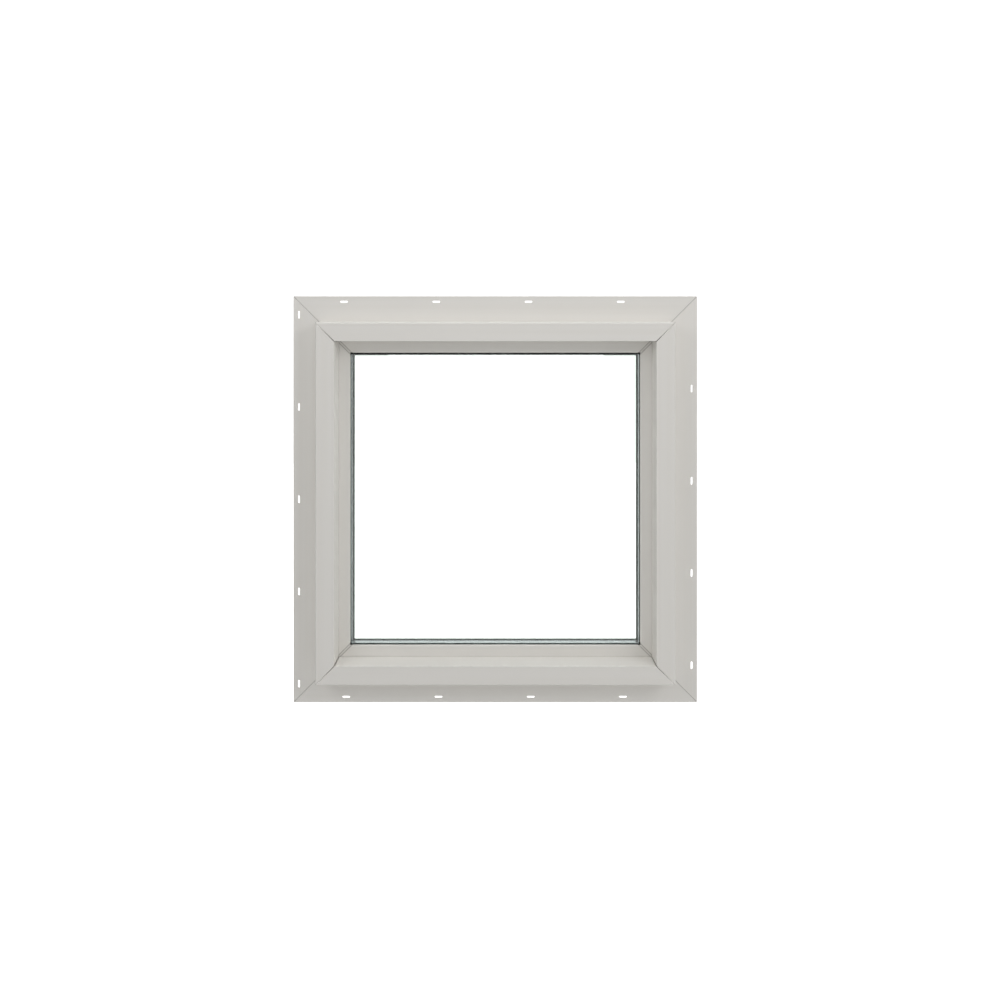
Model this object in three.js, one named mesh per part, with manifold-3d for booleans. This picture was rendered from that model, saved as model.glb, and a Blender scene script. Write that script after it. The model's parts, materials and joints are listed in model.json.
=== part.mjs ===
// Inward-opening casement window: a white vinyl nail-fin frame, a vinyl sash with a sealed double-glazing
// unit, two side hinges and a lever handle that drives a two-point lock.
// Millimetres. +X is right as seen from outside, +Y goes into the room, +Z is up. The origin is the middle
// of the sill fin's nailing line, on the fin's back face, which lies on the wall's sheathing at y = 0.
//
// An inset is a distance inward from the frame's outer wall. Every frame, sash and bead section is drawn in
// insets and depths (y), so the same 45 degree mitres close them all.
import * as THREE from "three";
import { mergeVertices } from "three/addons/utils/BufferGeometryUtils.js";
import Module from "manifold-3d";

// ---- Driving dimensions ----

// Frame
const frameWidth = 596;
const frameHeight = 600;
const finWidth = 43.3;
const finThickness = 1.8;
const frontDepth = 35; // front face ahead of the fin's back face
const roomDepth = 47.6; // room-side face behind the fin's back face
const vinylWall = 2.2;
const frontEdgeInset = 2; // small bevel on the front face's outer edge
const frontFaceWidth = 31.3;
const revealDraft = 1.5; // how far the reveal closes in on its way back
const rebateInset = 9.2; // wall behind the sash's edge
const stopDepth = 1; // where the front tube ends and the sash begins

// Nailing slots
const slotLength = 13;
const slotWidth = 3.2;
const slotEdge = 9.3; // from the slots' centre line to the fin's edge
const slotPitch = 156;
const slotEndMargin = 14;
const slotOffset = { sill: 59.9, head: -56.2, left: 0, right: 31.2 };

// Sash
const hardwareGap = 9; // between the rebate and the sash's edge
const faceGap = 0.8; // between the frame's stop and the sash's front face
const sashLipThickness = 2.4;
const sightBevel = 1.9;
const flangeInset = 5; // the flange that laps over the frame's room-side face
const flangeThickness = 4;
const flangeGap = 3;
const grooveWidth = 15; // hardware groove in the sash's edge
const grooveToFace = 10.1; // from the groove to the sash's room face

// Glazing
const glassThickness = 3;
const glassSpace = 11;
const glassCover = 10.4; // how far the sash laps over the glass
const glassClearance = 2.4; // under the glass, where the setting blocks are
const gasketThickness = 1.5;
const beadWidth = 14.8;
const gasketShow = [1.3, 1.9]; // how far each gasket shows past the sash's lip, and past the beads
const gasketDrop = 1.5; // the gaskets hang low, and show more at the head than at the sill
const spacerHeight = 6.6;
const spacerShow = 1.2; // how far the spacer shows past the sight line
const settingBlockLength = 60;

// Hinges
const hingeInset = 3.5;
const hingeStandOff = 6.4; // the pin's axis past the sash's room face
const hingeFromEnd = 120;
const knuckleRadius = 4.5;
const knuckleLength = 30;
const pinRadius = 2.5;
const washerThickness = 1.2;
const leafThickness = 2;
const sashLeafWidth = 28;

// Lock and handle
const teeth = 12;
const toothModule = 1;
const handleThrow = Math.PI;
const camHeight = 150; // each cam from the middle of the window
const camRadius = 3.5;
const camClearance = 1; // between a cam's end and the striker's plate
const camEngagement = 2; // how deep a cam goes behind the striker's lip
const strikerThickness = 1.6;
const rodThickness = 2.2;
const rodWidth = 10;
const faceplateThickness = 1.1;
const caseWall = 0.9;
const pocketWall = 0.9; // left between the gearbox's pocket and the bead's groove
const pinionHubWall = 0.8; // from the spindle's corners to the teeth's feet
const baseWidth = 26;
const baseHeight = 66;
const leverLength = 118;
const handleScrewSpacing = 43;

// Clearances
const gap = 0.3; // between pieces that are seated on each other
const running = 0.1; // between a pin and its bore
const mitreGap = 0.2;

// Facets
const roundSides = 24;
const screwSides = 12;

// ---- Derived places ----

// The sash's tube is just deep enough for the gearbox, and its lip covers the glass past the rabbet.
const pitchRadius = (teeth * toothModule) / 2;
const tipRadius = pitchRadius + 0.7 * toothModule;
const rootRadius = pitchRadius - 1.1 * toothModule;
const rodTravel = pitchRadius * handleThrow;
const rodFace = faceplateThickness + 0.4; // from the sash's edge in to the rod
const rackFace = rodFace + rodThickness;
const handleBackset = rackFace + 0.9 * toothModule + pitchRadius; // from the sash's edge in to the spindle
const grooveDepth = rackFace + 0.5;
const spindleSize = (rootRadius - pinionHubWall) * Math.SQRT2 - gap;
const beadFootDepth = 2;
const sashTubeWidth = handleBackset + tipRadius + gap + caseWall + pocketWall + beadFootDepth;
const sashFaceWidth = sashTubeWidth + glassClearance + glassCover;

const sashInset = rebateInset + hardwareGap;
const sightInset = sashInset + sashFaceWidth;
const glassInset = sightInset - glassCover;
const rabbetInset = glassInset - glassClearance;
const sashFront = stopDepth + faceGap;
const lipBack = sashFront + sashLipThickness;
const outerPaneFront = lipBack + gap + gasketThickness + gap;
const spaceFront = outerPaneFront + glassThickness;
const innerPaneFront = spaceFront + glassSpace;
const innerPaneBack = innerPaneFront + glassThickness;
const beadFront = innerPaneBack + gap + gasketThickness + gap;
const flangeFront = roomDepth + flangeGap;
const sashBack = flangeFront + flangeThickness;
const grooveBack = sashBack - grooveToFace;
const grooveFront = grooveBack - grooveWidth;
const grooveMiddle = (grooveFront + grooveBack) / 2;
const slotLine = finWidth - slotEdge;
const middleHeight = frameHeight / 2 + slotLine;
const rightEdge = frameWidth / 2;
const spacerInset = sightInset + spacerShow;
const beadFootBack = grooveBack - 0.5;
const beadFootFront = beadFootBack - 4;
const hingeDepth = sashBack + hingeStandOff;

const hingeX = -(rightEdge - hingeInset);
const hingeHeight = frameHeight / 2 - hingeFromEnd;
const handleX = rightEdge - sashInset - handleBackset;
const sashEdgeX = rightEdge - sashInset;
const camReach = hardwareGap - gap - strikerThickness - camClearance; // past the sash's edge
const toothPitch = Math.PI * toothModule;
const rackTeethUnder = Math.ceil(rodTravel / toothPitch) + 3;
const rackTeethOver = 3;
const caseHalfHeight = rackTeethUnder * toothPitch + 2;
const gearFront = grooveMiddle - 3.2;
const gearBack = grooveMiddle + 3.2;

const wasm = await Module();
wasm.setup();

// ---- Materials ----

const finish = (color, roughness, metalness = 0) =>
  new THREE.MeshStandardMaterial({ color, roughness, metalness });
const vinyl = finish("#ecebe7", 0.42);
const beadVinyl = finish("#e9e8e4", 0.42);
const blackRubber = finish("#23262a", 0.7);
const greyRubber = finish("#4a4f4d", 0.7);
const clearGlass = finish("#cfe0da", 0.03);
const millAluminium = finish("#b9bcbd", 0.38, 1);
const butyl = finish("#1b1c1e", 0.6);
const whitePaint = finish("#efeee9", 0.35);
const zincPlate = finish("#b7b9b4", 0.35, 1);
const hardNylon = finish("#3c3f42", 0.5);
const stainless = finish("#c3c4c3", 0.28, 1);

// ---- Solids ----

const casement = new THREE.Group();
const aboutMiddle = new THREE.Group();
aboutMiddle.position.z = middleHeight;
casement.add(aboutMiddle);

function solid(geometry) {
  const bare = geometry.index ? geometry.toNonIndexed() : geometry.clone();
  bare.deleteAttribute("normal");
  bare.deleteAttribute("uv");
  const merged = mergeVertices(bare, 1e-4);
  return new wasm.Manifold(
    new wasm.Mesh({
      numProp: 3,
      vertProperties: new Float32Array(merged.attributes.position.array),
      triVerts: new Uint32Array(merged.index.array),
    }),
  );
}

function piece(name, body, material) {
  const made = body.getMesh();
  const geometry = new THREE.BufferGeometry();
  geometry.setAttribute("position", new THREE.BufferAttribute(made.vertProperties, 3));
  geometry.setIndex(new THREE.BufferAttribute(made.triVerts, 1));
  const mesh = new THREE.Mesh(geometry, material);
  mesh.name = name;
  aboutMiddle.add(mesh);
}

const join = (...bodies) => bodies.reduce((whole, body) => whole.add(body));
const cut = (body, ...tools) => tools.reduce((left, tool) => left.subtract(tool), body);

// A box between two x, two y and two z values, in either order.
function block(xs, ys, zs) {
  const size = [xs, ys, zs].map(([a, b]) => Math.abs(b - a));
  const middle = [xs, ys, zs].map(([a, b]) => (a + b) / 2);
  return solid(new THREE.BoxGeometry(...size).translate(...middle));
}

// A body turned from an outline of [radius, height] points, its axis laid along "x", "y" or "z" through `at`.
function turned(outline, axis, at, facets = roundSides) {
  const points = outline.map(([radius, height]) => new THREE.Vector2(radius, height));
  const geometry = new THREE.LatheGeometry(points, facets);
  if (axis === "x") geometry.rotateZ(-Math.PI / 2);
  if (axis === "z") geometry.rotateX(Math.PI / 2);
  return solid(geometry.translate(...at));
}

function cylinder(axis, at, radius, from, to, facets = roundSides) {
  const outline = [[0, from], [radius, from], [radius, to], [0, to]];
  return turned(outline, axis, at, facets);
}

// A flat outline of [x, z] points given a thickness from one y to another.
function slab(points, ys, holes = []) {
  const shape = new THREE.Shape(points.map(([x, z]) => new THREE.Vector2(x, z)));
  shape.holes = holes.map((hole) => new THREE.Path(hole.map(([x, z]) => new THREE.Vector2(x, z))));
  const geometry = new THREE.ExtrudeGeometry(shape, { depth: ys[1] - ys[0], bevelEnabled: false });
  return solid(geometry.rotateX(Math.PI / 2).translate(0, ys[1], 0));
}

function stadium(length, width, arcSteps) {
  const radius = width / 2;
  const straight = length / 2 - radius;
  const points = [];
  for (const end of [1, -1]) {
    for (let i = 0; i <= arcSteps; i += 1) {
      const angle = -Math.PI / 2 + (Math.PI * i) / arcSteps;
      points.push([end * (straight + radius * Math.cos(angle)), end * radius * Math.sin(angle)]);
    }
  }
  return points;
}

function roundedRectangle(width, height, radius, arcSteps) {
  const points = [];
  for (let corner = 0; corner < 4; corner += 1) {
    const signX = corner === 0 || corner === 3 ? 1 : -1;
    const signZ = corner < 2 ? 1 : -1;
    for (let i = 0; i <= arcSteps; i += 1) {
      const angle = (Math.PI / 2) * (corner + i / arcSteps);
      points.push([
        signX * (width / 2 - radius) + radius * Math.cos(angle),
        signZ * (height / 2 - radius) + radius * Math.sin(angle),
      ]);
    }
  }
  return points;
}

// The four sides: a member is drawn lying along X with its insets upward, then turned into place.
const sides = {
  sill: { length: frameWidth, reach: frameHeight / 2, turn: 0 },
  head: { length: frameWidth, reach: frameHeight / 2, turn: Math.PI },
  left: { length: frameHeight, reach: frameWidth / 2, turn: Math.PI / 2 },
  right: { length: frameHeight, reach: frameWidth / 2, turn: -Math.PI / 2 },
};

const onSide = (geometry, { reach, turn }) => geometry.translate(0, 0, -reach).rotateY(turn);

// A mitred length of one closed outline of [inset, depth] points, `short` of the mitre plane at each end.
function mitred(outline, side, short) {
  const shape = new THREE.Shape(outline.map(([inset, depth]) => new THREE.Vector2(inset, depth)));
  const geometry = new THREE.ExtrudeGeometry(shape, { depth: 1, bevelEnabled: false });
  const position = geometry.attributes.position;
  for (let i = 0; i < position.count; i += 1) {
    const inset = position.getX(i);
    const end = position.getZ(i) < 0.5 ? 1 : -1;
    position.setXYZ(i, end * (side.length / 2 - inset - short), position.getY(i), inset);
  }
  return solid(onSide(geometry, side));
}

// A member is its section with chambers that run out through both mitres.
const member = (section, chambers, side) =>
  cut(mitred(section, side, mitreGap), ...chambers.map((chamber) => mitred(chamber, side, mitreGap - 5)));

// A rectangular ring round the window between two insets and two depths, set low by `drop`.
function ring([outerInset, innerInset], [front, back], drop = 0) {
  const rectangle = (inset) => {
    const x = frameWidth / 2 - inset;
    const z = frameHeight / 2 - inset;
    return [[-x, -z - drop], [x, -z - drop], [x, z - drop], [-x, z - drop]];
  };
  return slab(rectangle(outerInset), [front, back], [rectangle(innerInset)]);
}

const facing = (outline, direction) =>
  direction > 0 ? outline : outline.map(([radius, height]) => [radius, -height]).reverse();

// A countersunk screw with a cross recess. Its head is flush at `at`, and its point goes along "x" or "y"
// in `direction` (+1 or -1).
function countersunkScrew(axis, at, direction, { head, shank, length, sink }) {
  const outline = [[0, 0], [head, 0], [shank, sink], [shank, length - shank], [0, length]];
  const arm = head * 0.55;
  const slit = 0.35;
  const recess = (sideways, upward) => {
    const halves = axis === "x" ? [sink / 2, sideways, upward] : [sideways, sink / 2, upward];
    return block(...halves.map((half, k) => [at[k] - half, at[k] + half]));
  };
  return cut(turned(facing(outline, direction), axis, at, screwSides), recess(arm, slit), recess(slit, arm));
}

// The seat that a countersunk screw lies in, with the seating gap all round.
function countersunkHole(axis, at, direction, { head, shank, sink }) {
  const outline = [
    [0, -1],
    [head + gap, -1],
    [head + gap, 0],
    [shank + gap, sink + gap],
    [shank + gap, 30],
    [0, 30],
  ];
  return turned(facing(outline, direction), axis, at, screwSides);
}

// ---- Frame ----

const revealInset = frontFaceWidth + revealDraft;
const sealInset = [revealInset - 8.5, revealInset - 5.1];
const sealDepth = 3;
const legChamber = rebateInset - vinylWall;

const frameSection = [
  [0, -frontDepth + frontEdgeInset],
  [frontEdgeInset, -frontDepth],
  [frontFaceWidth, -frontDepth],
  [revealInset, stopDepth],
  [sealInset[1], stopDepth],
  [sealInset[1], stopDepth - sealDepth],
  [sealInset[0], stopDepth - sealDepth],
  [sealInset[0], stopDepth],
  [rebateInset, stopDepth],
  [rebateInset, roomDepth],
  [0, roomDepth],
  [0, 0],
  [-finWidth, 0],
  [-finWidth, -finThickness],
  [0, -finThickness],
];
const tubeBack = stopDepth - sealDepth - vinylWall;
const tubeWeb = (frontFaceWidth + vinylWall) / 2;
const frameChambers = [
  [
    [vinylWall, -frontDepth + frontEdgeInset + vinylWall / 2],
    [tubeWeb - vinylWall / 2, -frontDepth + vinylWall],
    [tubeWeb - vinylWall / 2, tubeBack],
    [vinylWall, tubeBack],
  ],
  [
    [tubeWeb + vinylWall / 2, -frontDepth + vinylWall],
    [frontFaceWidth - vinylWall, -frontDepth + vinylWall],
    [revealInset - vinylWall, tubeBack],
    [tubeWeb + vinylWall / 2, tubeBack],
  ],
  [
    [vinylWall, tubeBack + vinylWall],
    [legChamber, tubeBack + vinylWall],
    [legChamber, roomDepth - vinylWall],
    [vinylWall, roomDepth - vinylWall],
  ],
];

// Nailing slots run along the fin at one pitch, and stop short of its mitred ends.
function nailingSlots(side, offset) {
  const limit = side.length / 2 + slotLine - slotEndMargin - slotLength / 2;
  const cutters = [];
  const first = offset - Math.floor((limit + offset) / slotPitch) * slotPitch;
  for (let along = first; along <= limit; along += slotPitch) {
    const shape = new THREE.Shape(
      stadium(slotLength, slotWidth, 5).map(([x, z]) => new THREE.Vector2(x + along, z - slotLine)),
    );
    const deep = new THREE.ExtrudeGeometry(shape, { depth: finThickness + 2, bevelEnabled: false });
    cutters.push(solid(onSide(deep.rotateX(Math.PI / 2).translate(0, 1, 0), side)));
  }
  return cutters;
}

const screwStandOff = 3.1; // from a frame screw's point to the frame's outer face
const hingeScrew = {
  head: 3.2,
  shank: 1.6,
  length: rebateInset + gap + leafThickness - screwStandOff,
  sink: 1.7,
};
const sashScrew = { head: 3.2, shank: 1.6, length: 13, sink: 1.7 };
const screwHole = 1.9;
const hingeHeights = { upper: hingeHeight, lower: -hingeHeight };
const hingeScrewRise = 18;
const leafLegDepth = roomDepth - 13.6; // where the frame leaf's screws go in
const legFaceX = -(rightEdge - rebateInset - gap - leafThickness);

const strikerScrewRise = [-9, 37];
const camHeights = { upper: camHeight, lower: -camHeight };
const strikerX = rightEdge - rebateInset - gap;

const leftHoles = Object.values(hingeHeights).flatMap((height) =>
  [-1, 1].map((way) =>
    cylinder(
      "x",
      [0, leafLegDepth, height + way * hingeScrewRise],
      screwHole,
      -rightEdge + vinylWall,
      legFaceX,
      screwSides,
    ),
  ),
);
const rightHoles = Object.values(camHeights).flatMap((height) =>
  strikerScrewRise.map((rise) =>
    cylinder(
      "x",
      [0, grooveMiddle, height + rise],
      screwHole,
      strikerX - strikerThickness,
      rightEdge - vinylWall,
      screwSides,
    ),
  ),
);

const frameNames = {
  sill: "frame_sill",
  head: "frame_head",
  left: "frame_jamb_left",
  right: "frame_jamb_right",
};
const frameHoles = { sill: [], head: [], left: leftHoles, right: rightHoles };
for (const [key, side] of Object.entries(sides)) {
  const body = cut(
    member(frameSection, frameChambers, side),
    ...nailingSlots(side, slotOffset[key]),
    ...frameHoles[key],
  );
  piece(frameNames[key], body, vinyl);
}

piece(
  "frame_weatherstrip",
  ring([sealInset[0] + gap, sealInset[1] - gap], [stopDepth - sealDepth + gap, sashFront - gap]),
  greyRubber,
);

// ---- Sash ----

const lapSeal = [flangeInset + 0.9, flangeInset + 3.1];
const lapSealDepth = 2;
const sashSection = [
  [sashInset, sashFront],
  [sightInset - sightBevel, sashFront],
  [sightInset, sashFront + 1.5],
  [sightInset, lipBack],
  [rabbetInset, lipBack],
  [rabbetInset, beadFootFront],
  [rabbetInset - beadFootDepth, beadFootFront],
  [rabbetInset - beadFootDepth, beadFootBack],
  [rabbetInset, beadFootBack],
  [rabbetInset, sashBack],
  [flangeInset + 1.2, sashBack],
  [flangeInset, sashBack - 1.2],
  [flangeInset, flangeFront],
  [lapSeal[0], flangeFront],
  [lapSeal[0], flangeFront + lapSealDepth],
  [lapSeal[1], flangeFront + lapSealDepth],
  [lapSeal[1], flangeFront],
  [sashInset, flangeFront],
  [sashInset, grooveBack],
  [sashInset + grooveDepth, grooveBack],
  [sashInset + grooveDepth, grooveFront],
  [sashInset, grooveFront],
];
const webFront = grooveFront - vinylWall;
const sashChambers = [
  [
    [sashInset + vinylWall, sashFront + vinylWall],
    [rabbetInset - vinylWall, sashFront + vinylWall],
    [rabbetInset - vinylWall, webFront],
    [sashInset + vinylWall, webFront],
  ],
  [
    [sashInset + grooveDepth + vinylWall, grooveFront],
    [rabbetInset - beadFootDepth - vinylWall, grooveFront],
    [rabbetInset - beadFootDepth - vinylWall, sashBack - vinylWall],
    [sashInset + grooveDepth + vinylWall, sashBack - vinylWall],
  ],
];

// The gearbox goes in through the hardware groove, and the handle's spindle and screws through the room side.
const toothHeight = 1.7 * toothModule;
const caseInset = [rackFace + toothHeight + 0.6, sashTubeWidth - beadFootDepth - pocketWall];
const pocket = block(
  [sashEdgeX - grooveDepth + 1, sashEdgeX - caseInset[1] - gap],
  [grooveFront + gap, grooveBack - gap],
  [-caseHalfHeight - 1, caseHalfHeight + 1],
);
const handleScrewHeights = [-handleScrewSpacing / 2, handleScrewSpacing / 2];
const handleHoles = [
  cylinder("y", [handleX, 0, 0], 6.5, grooveBack - 1, sashBack + 1),
  ...handleScrewHeights.map((height) =>
    cylinder("y", [handleX, 0, height], 3, grooveBack - 1, sashBack + 1),
  ),
];
const rodHalf = camHeight + 22;
const faceplateScrewHeight = rodHalf + rodTravel + 7;
const faceplateScrewHeights = [-faceplateScrewHeight, faceplateScrewHeight];
const stileScrewHoles = faceplateScrewHeights.map((height) =>
  cylinder("x", [0, grooveMiddle, height], screwHole, sashEdgeX - 12, sashEdgeX + 1, screwSides),
);
const sashScrewX = -(rightEdge - sashInset - handleBackset);
const hingeStileHoles = Object.values(hingeHeights).flatMap((height) =>
  [-1, 1].map((way) =>
    cylinder(
      "y",
      [sashScrewX, 0, height + way * hingeScrewRise],
      screwHole,
      sashBack - 2 * vinylWall,
      sashBack + 1,
      screwSides,
    ),
  ),
);

const sashNames = {
  sill: "sash_bottom_rail",
  head: "sash_top_rail",
  left: "sash_hinge_stile",
  right: "sash_lock_stile",
};
const sashHoles = {
  sill: [],
  head: [],
  left: hingeStileHoles,
  right: [pocket, ...handleHoles, ...stileScrewHoles],
};
for (const [key, side] of Object.entries(sides)) {
  piece(sashNames[key], cut(member(sashSection, sashChambers, side), ...sashHoles[key]), vinyl);
}

// The lap seal stops for the plate of each frame leaf, which passes under the flange.
const sealNotches = Object.values(hingeHeights).map((height) =>
  block(
    [-rightEdge, -rightEdge + rebateInset + 4],
    [roomDepth, flangeFront],
    [height - knuckleLength - 2, height + knuckleLength + 2],
  ),
);
piece(
  "sash_weatherstrip",
  cut(
    ring([lapSeal[0] + gap, lapSeal[1] - gap], [roomDepth + gap, flangeFront + lapSealDepth - gap]),
    ...sealNotches,
  ),
  greyRubber,
);

// ---- Glazing ----

const pane = (front) => {
  const x = frameWidth / 2 - glassInset;
  const z = frameHeight / 2 - glassInset;
  return block([-x, x], [front, front + glassThickness], [-z, z]);
};
piece("outer_pane", pane(outerPaneFront), clearGlass);
piece("inner_pane", pane(innerPaneFront), clearGlass);

const spaceDepths = [spaceFront + gap, innerPaneFront - gap];
piece("spacer_bar", ring([spacerInset - spacerHeight, spacerInset], spaceDepths), millAluminium);
piece("edge_sealant", ring([glassInset + gap, spacerInset - spacerHeight - gap], spaceDepths), butyl);
piece(
  "outer_glazing_gasket",
  ring(
    [glassInset + 2, sightInset + gasketShow[0]],
    [lipBack + gap, lipBack + gap + gasketThickness],
    gasketDrop,
  ),
  blackRubber,
);
piece(
  "inner_glazing_gasket",
  ring(
    [glassInset + 6, rabbetInset + gap + beadWidth + gasketShow[1]],
    [innerPaneBack + gap, innerPaneBack + gap + gasketThickness],
    gasketDrop,
  ),
  blackRubber,
);

const beadInset = rabbetInset + gap;
const beadWall = 1.4;
const beadSection = [
  [beadInset, beadFront],
  [beadInset + beadWidth, beadFront],
  [beadInset + beadWidth, beadFront + 2.2],
  [beadInset + beadWidth - 3, beadFront + 6],
  [beadInset + 4.5, sashBack - 4],
  [beadInset + 1.6, sashBack - gap],
  [beadInset, sashBack - gap],
  [beadInset, beadFootBack - gap],
  [beadInset - beadFootDepth, beadFootBack - gap],
  [beadInset - beadFootDepth, beadFootFront + gap],
  [beadInset, beadFootFront + gap],
];
const beadChamber = [
  [beadInset + beadWall, beadFront + beadWall],
  [beadInset + beadWidth - 2 * beadWall, beadFront + beadWall],
  [beadInset + beadWidth - 3 - beadWall, beadFront + 5],
  [beadInset + 4.5 - beadWall, sashBack - 7],
  [beadInset + beadWall, sashBack - 7],
];
const beadNames = { sill: "bead_bottom", head: "bead_top", left: "bead_hinge_side", right: "bead_lock_side" };
for (const [key, side] of Object.entries(sides)) {
  piece(beadNames[key], member(beadSection, [beadChamber], side), beadVinyl);
}

const quarterPoint = (frameWidth / 2 - glassInset) / 2;
for (const [place, x] of [["left", -quarterPoint], ["right", quarterPoint]]) {
  piece(
    "setting_block_" + place,
    block(
      [x - settingBlockLength / 2, x + settingBlockLength / 2],
      [outerPaneFront, innerPaneBack],
      [-(frameHeight / 2 - glassInset + gap), -(frameHeight / 2 - rabbetInset - gap)],
    ),
    hardNylon,
  );
}

// ---- Hinges ----

const roomFace = roomDepth + gap;
const sashFace = sashBack + gap;
const legFrom = -(rightEdge - rebateInset - gap);
const plateOuterX = -(rightEdge - gap);
const flangeClearX = -(rightEdge - flangeInset + 1.2);
const halfWasher = washerThickness / 2;

for (const [place, height] of Object.entries(hingeHeights)) {
  const pinAt = [hingeX, hingeDepth, height];
  const bore = cylinder("z", pinAt, pinRadius + running, -knuckleLength * 2, knuckleLength * 2);
  const span = [height - knuckleLength, height + knuckleLength];
  const low = [height - knuckleLength - halfWasher, height - halfWasher - gap];
  const high = [height + halfWasher + gap, height + knuckleLength + halfWasher];
  const screws = [-hingeScrewRise, hingeScrewRise];

  const frameLeaf = cut(
    join(
      block([plateOuterX, legFaceX], [roomFace, roomFace + leafThickness], span),
      block([legFrom, legFaceX], [leafLegDepth - 8, roomFace + leafThickness], span),
      block([plateOuterX, flangeClearX], [roomFace, hingeDepth], low),
      cylinder("z", [hingeX, hingeDepth, 0], knuckleRadius, low[0], low[1]),
    ),
    bore,
    ...screws.map((rise) =>
      countersunkHole("x", [legFaceX, leafLegDepth, height + rise], -1, hingeScrew),
    ),
  );
  piece(`hinge_${place}_frame_leaf`, frameLeaf, whitePaint);

  const leafFrom = hingeX + knuckleRadius - 0.2;
  const sashLeaf = cut(
    join(
      block([leafFrom, leafFrom + sashLeafWidth], [sashFace, sashFace + leafThickness], span),
      block([hingeX, leafFrom + 2], [sashFace, hingeDepth - 1.5], high),
      cylinder("z", [hingeX, hingeDepth, 0], knuckleRadius, high[0], high[1]),
    ),
    bore,
    ...screws.map((rise) =>
      countersunkHole("y", [sashScrewX, sashFace + leafThickness, height + rise], -1, sashScrew),
    ),
  );
  piece(`hinge_${place}_sash_leaf`, sashLeaf, whitePaint);

  const pinTop = knuckleLength + halfWasher + gap;
  const pinOutline = [
    [0, -pinTop],
    [pinRadius, -pinTop],
    [pinRadius, pinTop],
    [knuckleRadius - 0.6, pinTop],
    [knuckleRadius - 0.6, pinTop + 1.4],
    [0, pinTop + 2],
  ];
  piece(`hinge_${place}_pin`, turned(pinOutline, "z", pinAt), stainless);

  const washer = cut(
    cylinder("z", pinAt, knuckleRadius - 0.1, -halfWasher, halfWasher),
    cylinder("z", pinAt, pinRadius + running, -2, 2),
  );
  piece(`hinge_${place}_washer`, washer, hardNylon);

  screws.forEach((rise, i) => {
    const frameAt = [legFaceX, leafLegDepth, height + rise];
    const sashAt = [sashScrewX, sashFace + leafThickness, height + rise];
    piece(`hinge_${place}_frame_screw_${i + 1}`, countersunkScrew("x", frameAt, -1, hingeScrew), zincPlate);
    piece(`hinge_${place}_sash_screw_${i + 1}`, countersunkScrew("y", sashAt, -1, sashScrew), zincPlate);
  });
}

// ---- Lock ----

const strikerScrew = {
  head: 2.9,
  shank: 1.5,
  length: rebateInset + gap + strikerThickness - screwStandOff,
  sink: 1.3,
};
const strikerDepths = [grooveMiddle - 9, grooveMiddle + 9];
const lipDepths = [grooveMiddle + camRadius + 0.5, grooveMiddle + 8.5];
const lipX = sashEdgeX + camReach - camEngagement;

for (const [place, height] of Object.entries(camHeights)) {
  const plateX = strikerX - strikerThickness;
  const striker = cut(
    join(
      block([plateX, strikerX], strikerDepths, [height - 14, height + 43]),
      block([lipX, plateX + 0.5], lipDepths, [height + camRadius + 1.2, height + rodTravel + camRadius + 8]),
    ),
    ...strikerScrewRise.map((rise) =>
      countersunkHole("x", [plateX, grooveMiddle, height + rise], 1, strikerScrew),
    ),
  );
  piece(`striker_${place}`, striker, zincPlate);
  strikerScrewRise.forEach((rise, i) => {
    const at = [plateX, grooveMiddle, height + rise];
    piece(`striker_${place}_screw_${i + 1}`, countersunkScrew("x", at, 1, strikerScrew), zincPlate);
  });
}

const camNeck = 1.5;
const faceplateHalf = faceplateScrewHeight + 8;
const faceplateScrew = { head: 2.2, shank: 1.2, length: 9, sink: 0.9 };
const camSlot = (height) =>
  block(
    [sashEdgeX - faceplateThickness - 1, sashEdgeX + 1],
    [grooveMiddle - camRadius - 0.5, grooveMiddle + camRadius + 0.5],
    [height - camRadius - 1, height + rodTravel + camRadius + 1],
  );
piece(
  "lock_faceplate",
  cut(
    block(
      [sashEdgeX - faceplateThickness, sashEdgeX],
      [grooveFront + 0.6, grooveBack - 0.6],
      [-faceplateHalf, faceplateHalf],
    ),
    ...Object.values(camHeights).map(camSlot),
    ...faceplateScrewHeights.map((height) =>
      countersunkHole("x", [sashEdgeX, grooveMiddle, height], -1, faceplateScrew),
    ),
  ),
  zincPlate,
);
faceplateScrewHeights.forEach((height, i) => {
  const at = [sashEdgeX, grooveMiddle, height];
  piece(`faceplate_screw_${i + 1}`, countersunkScrew("x", at, -1, faceplateScrew), zincPlate);
});

// Drive rod with the rack that the handle's pinion turns against.
const toothWide = 0.86 * toothModule; // half thickness at the tooth's foot
const toothNarrow = 0.34 * toothModule; // half thickness at its tip
const rackX = sashEdgeX - rackFace;
const rackTooth = (height) => {
  const points = [
    [rackX + 0.4, height - toothWide],
    [rackX, height - toothWide],
    [rackX - toothHeight, height - toothNarrow],
    [rackX - toothHeight, height + toothNarrow],
    [rackX, height + toothWide],
    [rackX + 0.4, height + toothWide],
  ];
  return slab(points, [gearFront, gearBack]);
};
const rackTeeth = [];
for (let i = -rackTeethUnder; i < rackTeethOver; i += 1) {
  rackTeeth.push(rackTooth((i + 0.5) * toothPitch));
}
piece(
  "drive_rod",
  cut(
    join(
      block(
        [rackX, sashEdgeX - rodFace],
        [grooveMiddle - rodWidth / 2, grooveMiddle + rodWidth / 2],
        [-rodHalf, rodHalf],
      ),
      ...rackTeeth,
    ),
    ...Object.values(camHeights).map((height) =>
      cylinder("x", [0, grooveMiddle, height], camNeck + gap, rackX - 1, sashEdgeX),
    ),
  ),
  zincPlate,
);
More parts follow.
